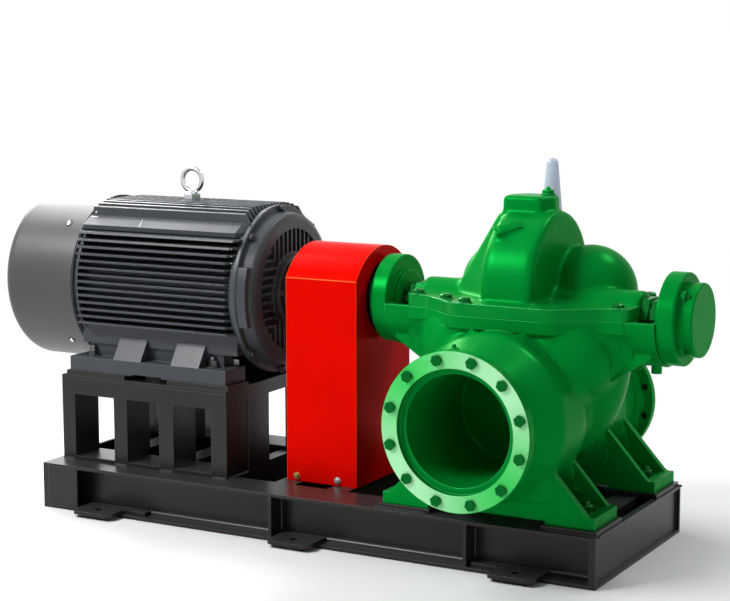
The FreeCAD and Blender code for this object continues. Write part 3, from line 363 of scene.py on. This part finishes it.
# Shafts, eye and coupling. The shafts and coupling pins are ground steel, the forged lifting
# eye is bright plated, and the coupling halves are machined iron.
def bare_metal(name, colour, roughness):
    metal = bpy.data.materials.new(name)
    metal.use_nodes = True
    made = metal.node_tree
    shader = made.nodes["Principled BSDF"]
    shader.inputs["Metallic"].default_value = 1.0
    place = made.nodes.new("ShaderNodeTexCoord")
    lathe = made.nodes.new("ShaderNodeTexNoise")
    lathe.inputs["Scale"].default_value = 60.0
    lathe.inputs["Detail"].default_value = 5.0
    made.links.new(place.outputs["Object"], lathe.inputs["Vector"])
    tone = made.nodes.new("ShaderNodeMapRange")
    tone.inputs["To Min"].default_value = 0.8
    tone.inputs["To Max"].default_value = 1.15
    made.links.new(lathe.outputs["Fac"], tone.inputs["Value"])
    tint = made.nodes.new("ShaderNodeMix")
    tint.data_type = "RGBA"
    tint.blend_type = "MULTIPLY"
    tint.inputs["Factor"].default_value = 1.0
    tint.inputs["A"].default_value = (*colour, 1)
    made.links.new(tone.outputs["Result"], tint.inputs["B"])
    made.links.new(tint.outputs["Result"], shader.inputs["Base Color"])
    rough = made.nodes.new("ShaderNodeMapRange")
    rough.inputs["To Min"].default_value = roughness * 0.8
    rough.inputs["To Max"].default_value = roughness * 1.3
    made.links.new(lathe.outputs["Fac"], rough.inputs["Value"])
    made.links.new(rough.outputs["Result"], shader.inputs["Roughness"])
    soft_edge = made.nodes.new("ShaderNodeBevel")
    soft_edge.samples = 4
    soft_edge.inputs["Radius"].default_value = 1.0 * MM
    bump = made.nodes.new("ShaderNodeBump")
    bump.inputs["Strength"].default_value = 0.08
    bump.inputs["Distance"].default_value = 0.2 * MM
    made.links.new(lathe.outputs["Fac"], bump.inputs["Height"])
    made.links.new(soft_edge.outputs["Normal"], bump.inputs["Normal"])
    made.links.new(bump.outputs["Normal"], shader.inputs["Normal"])
    return metal


bright_steel = bare_metal("bright_steel", (0.50, 0.50, 0.50), 0.28)
dress(bright_steel, "motor_shaft", "pump_shaft", "coupling_pins")
bright_plating = bare_metal("bright_plating", (0.62, 0.63, 0.65), 0.18)
dress(bright_plating, "lifting_eye")
bare_iron = bare_metal("bare_iron", (0.12, 0.12, 0.12), 0.45)
dress(bare_iron, "coupling_half_motor", "coupling_half_pump")


# Motor fasteners. Dull zinc studs and nuts hold the feet, painted hexagon bolts the drive end
# shield and bearing cap, and small plated screws the fan cover and the terminal box lid.
def hexagon(mesh, on, low, high, across):
    prism = turned(mesh, on, low, high, across / math.sqrt(3), sides=6)
    away = on.inverted()
    edges = dict.fromkeys(edge for vert in prism["verts"] for edge in vert.link_edges)
    crown = [edge for edge in edges
             if all((away @ end.co).z > (high - 0.01) * MM for end in edge.verts)]
    chamfer = (high - low) * 0.14
    bmesh.ops.bevel(mesh, geom=crown, offset=chamfer * MM, affect="EDGES", segments=2,
                    profile=0.5, material=-1)


def hex_bolt(mesh, at, axis, across, turn, height=0.76, washer=0.86):
    on = seat(at, axis, turn)
    collar = across * 0.11
    turned(mesh, on, 0, collar, across * washer)
    hexagon(mesh, on, collar, across * height, across)


def stud_and_nut(mesh, at, axis, across, turn, crests=4):
    on = seat(at, axis, turn)
    collar, top, pitch = across * 0.11, across * 0.72, across * 0.09
    turned(mesh, on, 0, collar, across * 0.92)
    hexagon(mesh, on, collar, top, across)
    for crest in range(crests):
        low = top - 1 + crest * pitch
        turned(mesh, on, low, low + pitch, across * 0.33, across * 0.28, sides=16)


def round_screw(mesh, at, axis, radius, height):
    on = seat(at, axis)
    head = turned(mesh, on, 0, height, radius, radius * 0.92, sides=20)
    away = on.inverted()
    top = next(face for vert in head["verts"] for face in vert.link_faces
               if (away @ face.calc_center_median()).z > (height - 0.01) * MM)
    bmesh.ops.inset_region(mesh, faces=[top], thickness=radius * 0.5 * MM, use_even_offset=True)
    bmesh.ops.translate(mesh, verts=top.verts[:],
                        vec=-Vector(axis).normalized() * height * 0.5 * MM)


shaft_y, shaft_z = 8, 705


def around_shaft(x, radius, angle):
    return (x, shaft_y + radius * math.sin(angle), shaft_z + radius * math.cos(angle))


dull_zinc = bare_metal("dull_zinc", (0.10, 0.105, 0.11), 0.40)
motor_foot_top = 479
motor_bolts = bmesh.new()
for bolt_x in (-836, -380):
    for bolt_y in (-200, 216):
        stud_and_nut(motor_bolts, (bolt_x, bolt_y, motor_foot_top), (0, 0, 1), across=30,
                     turn=bolt_x)
finish_piece("motor_foot_bolts", motor_bolts, dull_zinc)

shield_face, shield_bolt_circle = -262, 253
bearing_cap_face, bearing_cap_circle = -200, 96
shield_bolts = bmesh.new()
for degrees in (0, 45, 135, 180, 225, 315):
    angle = math.radians(degrees)
    hex_bolt(shield_bolts, around_shaft(shield_face, shield_bolt_circle, -angle), (1, 0, 0),
             across=18, turn=angle)
for step in range(6):
    angle = math.radians(30 + 60 * step)
    hex_bolt(shield_bolts, around_shaft(bearing_cap_face, bearing_cap_circle, angle), (1, 0, 0),
             across=14, turn=angle)
finish_piece("motor_shield_bolts", shield_bolts, motor_grey)

cover_screw_x, cover_radius = -938, 267.5
lid_face, lid_screws_x, lid_screws_z = 378, (-697, -598, -499), (701, 859)
cover_screws, screw_seats = bmesh.new(), bmesh.new()
for degrees in (45, 135, 225, 315):
    angle = math.radians(degrees)
    outwards = (0, -math.sin(angle), math.cos(angle))
    at = around_shaft(cover_screw_x, cover_radius, -angle)
    round_screw(cover_screws, at, outwards, radius=8, height=3)
    turned(screw_seats, seat(at, outwards), 0, 1, 14)
for screw_x in lid_screws_x:
    for screw_z in lid_screws_z:
        round_screw(cover_screws, (screw_x, lid_face, screw_z), (0, 1, 0), radius=6, height=4)
finish_piece("cover_screws", cover_screws, bright_plating)
finish_piece("cover_screw_seats", screw_seats, fan_plastic)


# Motor frame marks and fin highlights. Small bright nibs on the ends of the fins are a painted
# highlight where they shine, and a joint line, a notch and a small plug show on the frame's
# shoulder. All are thin bright metal on the casting.
lowest_fin, fin_pitch = 589, 21.9
fin_end_x, fin_end_y, fin_end_slope = -288, -233, (0.86, -0.51, 0)
shoulder_line = ((-669, -151, 919), (-657, -190, 896))
shoulder_notch = ((-868, -156, 916), (-842, -156, 916))
shoulder_plug = (-853, -148, 931)
frame_marks_and_fin_highlights = bmesh.new()
# Bright nibs on the fin ends, a painted highlight.
for fin in range(1, 13):
    at = (fin_end_x, fin_end_y, lowest_fin + fin_pitch * fin)
    turned(frame_marks_and_fin_highlights, seat(at, fin_end_slope), -2, 1.5, 2.8, 2, sides=16)
for start, end in (shoulder_line, shoulder_notch):
    line = Vector(end) - Vector(start)
    turned(frame_marks_and_fin_highlights, seat(start, line), 0, line.length, 1.6, sides=12)
turned(frame_marks_and_fin_highlights, seat(shoulder_plug, (0, -1, 0)), 0, 2, 4)
finish_piece("motor_frame_marks_and_fin_highlights", frame_marks_and_fin_highlights, bright_plating)


# Terminal box plugs. Two plated plugs with hexagon collars are screwed into the cable entries
# on the underside of the terminal box.
box_underside, box_middle = 685, 318
box_plugs = bmesh.new()
for entry_x in (-652, -544):
    on = seat((entry_x, box_middle, box_underside), (0, 0, -1))
    hexagon(box_plugs, on, 0, 9, 50)
    turned(box_plugs, on, 9, 22, 22, 20)
    hexagon(box_plugs, on, 22, 34, 42)
finish_piece("terminal_box_plugs", box_plugs, bright_plating)


# Coupling guard. Folded sheet steel over the coupling, sprayed in gloss signal red and held to
# the cross members by plated bolts at its foot. Thin orange rods half sunk in its two upper folds
# are a painted highlight.
guard_red = sprayed_paint("guard_red", (0.78, 0.003, 0.0006), (1.0, 0.22, 0.04), 0.22,
                          gleam=0.02, gleam_tint=(1, 0.10, 0.05), flake=0.10, edge_round=3.0)
dress(guard_red, "coupling_guard")

# The orange rods in the two upper folds are a painted highlight on the folds.
fold_highlight_orange = sprayed_paint("fold_highlight_orange", (0.95, 0.15, 0.03), (1.0, 0.3, 0.08), 0.22,
                            gleam=0.1, gleam_tint=(1, 0.3, 0.1))
guard_front, guard_rear = -162, 178
fold_height, fold_start, fold_length, fold_radius = 767, -138, 239, 1.6
fold_highlight_rods = bmesh.new()
for fold_y in (guard_front + fold_radius / 2, guard_rear - fold_radius / 2):
    turned(fold_highlight_rods, seat((fold_start, fold_y, fold_height), (1, 0, 0)), 0, fold_length,
           fold_radius, sides=12)
finish_piece("guard_fold_highlights", fold_highlight_rods, fold_highlight_orange)

yellow_plating = bare_metal("yellow_plating", (0.42, 0.30, 0.12), 0.32)
guard_bolt_height, left_bolt_x, right_bolt_x = 160, -106, 37
left_bolts, right_bolts = bmesh.new(), bmesh.new()
for bolt_y, facing in ((guard_front, -1), (guard_rear, 1)):
    hex_bolt(left_bolts, (left_bolt_x, bolt_y, guard_bolt_height), (0, facing, 0), across=13,
             turn=0.3)
    hex_bolt(right_bolts, (right_bolt_x, bolt_y, guard_bolt_height), (0, facing, 0), across=13,
             turn=0.1)
finish_piece("guard_bolts_left", left_bolts, yellow_plating)
finish_piece("guard_bolts_right", right_bolts, bright_plating)


# Pump. The casing halves, glands and bearing housings are iron castings in gloss green. The
# machined flange faces are painted a paler green that is partly a painted sheen, and two opposite
# quarters are paler still as a painted reflection.
pump_green = sprayed_paint("pump_green", (0.0006, 0.26, 0.032), (0.05, 0.50, 0.15), 0.30,
                           gleam=0.02, gleam_tint=(0.30, 1.0, 0.45), flake=0.14, edge_round=4.0,
                           casting=0.3)
pump_middle = 598
suction_face, suction_height = -511, 434
discharge_face, discharge_height = 508, 360
face_band = 0.3
coat = pump_green.node_tree
coat_shader = coat.nodes["Principled BSDF"]
cast_colour = coat_shader.inputs["Base Color"].links[0].from_socket
on_pump = coat.nodes.new("ShaderNodeTexCoord")
depth = coat.nodes.new("ShaderNodeSeparateXYZ")
coat.links.new(on_pump.outputs["Object"], depth.inputs["Vector"])
centred = coat.nodes.new("ShaderNodeMath")
centred.operation = "ADD"
centred.inputs[1].default_value = -(suction_face + discharge_face) / 2 * MM
coat.links.new(depth.outputs["Y"], centred.inputs[0])
to_either_side = coat.nodes.new("ShaderNodeMath")
to_either_side.operation = "ABSOLUTE"
coat.links.new(centred.outputs["Value"], to_either_side.inputs[0])
on_face = coat.nodes.new("ShaderNodeMath")
on_face.operation = "GREATER_THAN"
on_face.inputs[1].default_value = ((discharge_face - suction_face) / 2 - face_band) * MM
coat.links.new(to_either_side.outputs["Value"], on_face.inputs[0])
from_centre = coat.nodes.new("ShaderNodeVectorMath")
from_centre.operation = "SUBTRACT"
from_centre.inputs[1].default_value = (pump_middle * MM, 0, suction_height * MM)
coat.links.new(on_pump.outputs["Object"], from_centre.inputs[0])
on_plane = coat.nodes.new("ShaderNodeVectorMath")
on_plane.operation = "MULTIPLY"
on_plane.inputs[1].default_value = (1, 0, 1)
coat.links.new(from_centre.outputs["Vector"], on_plane.inputs[0])
spoke = coat.nodes.new("ShaderNodeVectorMath")
spoke.operation = "NORMALIZE"
coat.links.new(on_plane.outputs["Vector"], spoke.inputs[0])
spoke_parts = coat.nodes.new("ShaderNodeSeparateXYZ")
coat.links.new(spoke.outputs["Vector"], spoke_parts.inputs["Vector"])
# Two opposite quarters of each flange face are mixed towards pale green, a painted reflection.
sheen_quarters = coat.nodes.new("ShaderNodeMath")
sheen_quarters.operation = "MULTIPLY_ADD"
sheen_quarters.inputs[2].default_value = 0.5
coat.links.new(spoke_parts.outputs["X"], sheen_quarters.inputs[0])
coat.links.new(spoke_parts.outputs["Z"], sheen_quarters.inputs[1])
face_sheen = coat.nodes.new("ShaderNodeMix")
face_sheen.data_type = "RGBA"
face_sheen.inputs["A"].default_value = (0.06, 0.66, 0.13, 1)
face_sheen.inputs["B"].default_value = (0.46, 0.92, 0.52, 1)
coat.links.new(sheen_quarters.outputs["Value"], face_sheen.inputs["Factor"])
pale = coat.nodes.new("ShaderNodeMix")
pale.data_type = "RGBA"
coat.links.new(face_sheen.outputs["Result"], pale.inputs["B"])
coat.links.new(on_face.outputs["Value"], pale.inputs["Factor"])
coat.links.new(cast_colour, pale.inputs["A"])
coat.links.new(pale.outputs["Result"], coat_shader.inputs["Base Color"])
dress(pump_green, "lower_casing", "upper_casing", "bearing_housing_drive",
      "bearing_housing_free", "bearing_cover_drive", "bearing_cap_free")
# The glands get a darker copy of the casing green, a painted shade where they sit in the trough.
gland_shaded_green = sprayed_paint("gland_shaded_green", (0.0006, 0.13, 0.018), (0.03, 0.36, 0.10), 0.26,
                            gleam=0.08, gleam_tint=(0.30, 1.0, 0.45), flake=0.2, edge_round=2.0)
dress(gland_shaded_green, "gland_drive_side", "gland_free_side")


# Hood. The upper casing is one iron casting, and a casting has no sharp corner where two of
# its forms meet. Its solid is copied, remeshed and smoothed until the forms flow together.
def solid_copy(node_name):
    mesh = bmesh.new()
    mesh.from_mesh(nodes[node_name].data)
    bmesh.ops.remove_doubles(mesh, verts=mesh.verts[:], dist=0.01 * MM)
    return mesh


def smoothed(mesh, voxel, rounds):
    data = bpy.data.meshes.new("casting_work")
    mesh.to_mesh(data)
    mesh.free()
    work = bpy.data.objects.new("casting_work", data)
    scene.collection.objects.link(work)
    grid = work.modifiers.new("grid", "REMESH")
    grid.mode = "VOXEL"
    grid.voxel_size = voxel * MM
    soft = work.modifiers.new("soft", "SMOOTH")
    soft.factor = 0.5
    soft.iterations = rounds
    bpy.context.view_layer.update()
    ready = work.evaluated_get(bpy.context.evaluated_depsgraph_get())
    result = bmesh.new()
    result.from_mesh(ready.to_mesh())
    ready.to_mesh_clear()
    bpy.data.objects.remove(work)
    bpy.data.meshes.remove(data)
    return result


def cast_piece(name, mesh):
    for face in mesh.faces:
        face.smooth = True
    return finish_piece(name, mesh, pump_green)


hood_shrink = 0.4
hood = smoothed(solid_copy("upper_casing"), voxel=4.0, rounds=44)
hood.normal_update()
for vert in hood.verts:
    vert.co -= vert.normal * hood_shrink * MM
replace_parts(cast_piece("casing_hood", hood), "upper_casing")


# Lifting wedge. A small lug is cast on the front of the hood and has the same green paint. Its
# top falls away towards one end.
wedge_length, wedge_width, wedge_height, wedge_fall = 76, 34, 44, 18
wedge_start = Vector((538, -120.4, 925.4))
outward = Vector((0, -math.sin(math.radians(45)), math.cos(math.radians(45))))
along = Vector((0.783, 0.44, 0.44)).normalized()
on_hood = Matrix((along, outward.cross(along), outward)).transposed().to_4x4()
on_hood.translation = (wedge_start + along * wedge_length / 2) * MM
lifting_wedge = bmesh.new()
wedge_size = Matrix.Diagonal((wedge_length * MM, wedge_width * MM, wedge_height * MM, 1))
bmesh.ops.create_cube(lifting_wedge, size=1.0, matrix=on_hood @ wedge_size)
away = on_hood.inverted()
for vert in lifting_wedge.verts:
    corner = away @ vert.co
    if corner.x > 0 and corner.z > 0:
        vert.co -= outward * wedge_fall * MM
bmesh.ops.bevel(lifting_wedge, geom=lifting_wedge.edges[:], offset=2.5 * MM, affect="EDGES",
                segments=2, profile=0.5, material=-1)
cast_piece("lifting_wedge", lifting_wedge)


# Split plate. The upper casing stands on a flat machined plate with a crisp rim. It is the same
# iron casting, and its green coat is glossier, with a paler painted highlight along the edges.
split_top, split_underside = 741, 669
split_plate = solid_copy("upper_casing")
whole = split_plate.verts[:] + split_plate.edges[:] + split_plate.faces[:]
bmesh.ops.bisect_plane(split_plate, geom=whole, plane_co=(0, 0, (split_top + 0.1) * MM),
                       plane_no=(0, 0, 1), clear_outer=True)
open_edges = [edge for edge in split_plate.edges if edge.is_boundary]
bmesh.ops.holes_fill(split_plate, edges=open_edges, sides=0)
# Its rim colour is paler, a painted highlight along the edges.
flange_green = sprayed_paint("flange_green", (0.0006, 0.26, 0.032), (0.16, 0.72, 0.30), 0.22,
                             gleam=0.25, gleam_tint=(0.15, 1.0, 0.35), flake=0.15, edge_round=3.0,
                             casting=0.2)
finish_piece("casing_split_plate", split_plate, flange_green)


# Casting radii. The lower casing keeps its own solid, and only its inner corners are filled.
# They are the parts of a smoothed copy that stand outside the solid, given a thin wall.
solid = solid_copy("lower_casing")
skin = BVHTree.FromBMesh(solid)
radii = smoothed(solid, voxel=6.0, rounds=120)
body_half_length, body_front, body_rear, body_foot = 345, -470, 478, 215
suction_bore, discharge_bore, shaft_bore = 180, 132, 66
branch_root, least_fill, radii_wall = 150, 0.15, 4


def inside_casting(x, y, z):
    in_suction = math.hypot(x - pump_middle, z - suction_height) < suction_bore
    in_discharge = math.hypot(x - pump_middle, z - discharge_height) < discharge_bore
    along_shaft = math.hypot(y - shaft_y, z - shaft_z) < shaft_bore
    return (in_suction and y < -branch_root) or (in_discharge and y > branch_root) or along_shaft


def fills_a_corner(vert):
    x, y, z = vert.co / MM
    on_body = (abs(x - pump_middle) <= body_half_length and body_front < y < body_rear
               and body_foot < z < split_underside - 1)
    if not on_body or inside_casting(x, y, z):
        return False
    spot, normal = skin.find_nearest(vert.co)[:2]
    return (vert.co - spot).dot(normal) > least_fill * MM


proud = {vert for vert in radii.verts if fills_a_corner(vert)}
plain = [face for face in radii.faces if not any(vert in proud for vert in face.verts)]
bmesh.ops.delete(radii, geom=plain, context="FACES")
pinched = [vert for vert in radii.verts if sum(edge.is_boundary for edge in vert.link_edges) > 2]
bmesh.ops.delete(radii, geom=pinched, context="VERTS")
bmesh.ops.solidify(radii, geom=radii.faces[:], thickness=radii_wall * MM)
cast_piece("casing_radii", radii)


# Pump fasteners. Hexagon bolts fill the branch flanges, the casing halves are held by domed
# nuts above and bolts below, and studs hold the feet. All were painted over with the casing.
bolt_green = sprayed_paint("bolt_green", (0.0008, 0.13, 0.018), (0.06, 0.42, 0.14), 0.24,
                           gleam=0.15, gleam_tint=(0.30, 1.0, 0.45), flake=0.3, edge_round=0.8)
suction_circle, discharge_circle = 200, 175
flange_bolts = bmesh.new()
for step in range(12):
    angle = math.radians(15 + 30 * step)
    for face_y, circle, height, facing in (
            (suction_face, suction_circle, suction_height, -1),
            (discharge_face, discharge_circle, discharge_height, 1)):
        at = (pump_middle + circle * math.sin(angle), face_y, height + circle * math.cos(angle))
        hex_bolt(flange_bolts, at, (0, facing, 0), across=29, turn=angle, height=0.30,
                 washer=0.5)
finish_piece("flange_bolts", flange_bolts, bolt_green)

upper_nuts = ((289, -119), (404, -172), (484, -216), (907, -119), (289, 135), (907, 135))
lower_nuts = ((289, 135), (404, 194), (498, 234), (598, 234), (698, 234), (792, 194), (907, 135))
split_nuts, nut_seats = bmesh.new(), bmesh.new()
for nut_x, nut_y in upper_nuts:
    on = seat((nut_x, nut_y, split_top), (0, 0, 1))
    turned(nut_seats, on, 0, 3, 23, 21, sides=32)
    turned(split_nuts, on, 3, 11, 18, 17, sides=32)
    turned(split_nuts, on, 11, 15, 17, 11, sides=32)
for nut_x, nut_y in lower_nuts:
    hex_bolt(split_nuts, (nut_x, nut_y, split_underside), (0, 0, -1), across=27, turn=nut_x)
finish_piece("split_flange_nuts", split_nuts, bolt_green)
finish_piece("split_nut_seats", nut_seats, flange_green)

gland_circle, gland_faces = 43, ((207, -1), (989, 1))
gland_studs = bmesh.new()
for face_x, facing in gland_faces:
    for step in range(4):
        angle = math.radians(45 + 90 * step)
        stud_and_nut(gland_studs, around_shaft(face_x, gland_circle, angle), (facing, 0, 0),
                     across=19, turn=angle, crests=5)
finish_piece("gland_studs", gland_studs, bolt_green)

free_cap_face, free_cap_circle = 1084, 102
drive_cover_face, drive_cover_circle = 106, 86
cap_bolts = bmesh.new()
for step in range(4):
    angle = math.radians(45 + 90 * step)
    hex_bolt(cap_bolts, around_shaft(free_cap_face, free_cap_circle, angle), (1, 0, 0),
             across=18, turn=angle)
for step in range(6):
    angle = math.radians(60 * step)
    hex_bolt(cap_bolts, around_shaft(drive_cover_face, drive_cover_circle, angle), (-1, 0, 0),
             across=13, turn=angle)
finish_piece("bearing_cap_bolts", cap_bolts, bolt_green)

pump_foot_top, foot_stud_rows = 182, (-225.5, 241.5)
foot_nuts = bmesh.new()
for nut_x in pump_foot_places:
    for nut_y in foot_stud_rows:
        stud_and_nut(foot_nuts, (nut_x, nut_y, pump_foot_top), (0, 0, 1), across=32, turn=nut_x)
finish_piece("pump_foot_nuts", foot_nuts, bolt_green)


# Casing plugs. A hexagon plug closes the boss on top of the hood, and a nipple with its cap
# stands on the suction branch. Both are screwed in and painted with the casing.
boss_plug, branch_nipple = (616, 62, 1030), (574, -464, 606)
plugs = bmesh.new()
on = seat(boss_plug, (0, 0, 1), 0.4)
turned(plugs, on, 0, 4, 21)
hexagon(plugs, on, 4, 14, 34)
turned(plugs, on, 14, 24, 11, 3, sides=16)
on = seat(branch_nipple, (0, 0, 1))
turned(plugs, on, 0, 34, 15, 12)
hexagon(plugs, on, 34, 50, 24)
turned(plugs, on, 50, 60, 7, 5, sides=16)
finish_piece("casing_plugs", plugs, pump_green)


# Priming tube. A slightly tapered sight tube of milky clear plastic with a round top stands on
# the boss behind the plug. It lets some of the light through.
clear_tube = sprayed_paint("clear_tube", (0.62, 0.70, 0.82), (0.85, 0.9, 0.95), 0.3)
clear_tube.node_tree.nodes["Principled BSDF"].inputs["Transmission Weight"].default_value = 0.45
dress(clear_tube, "priming_tube")
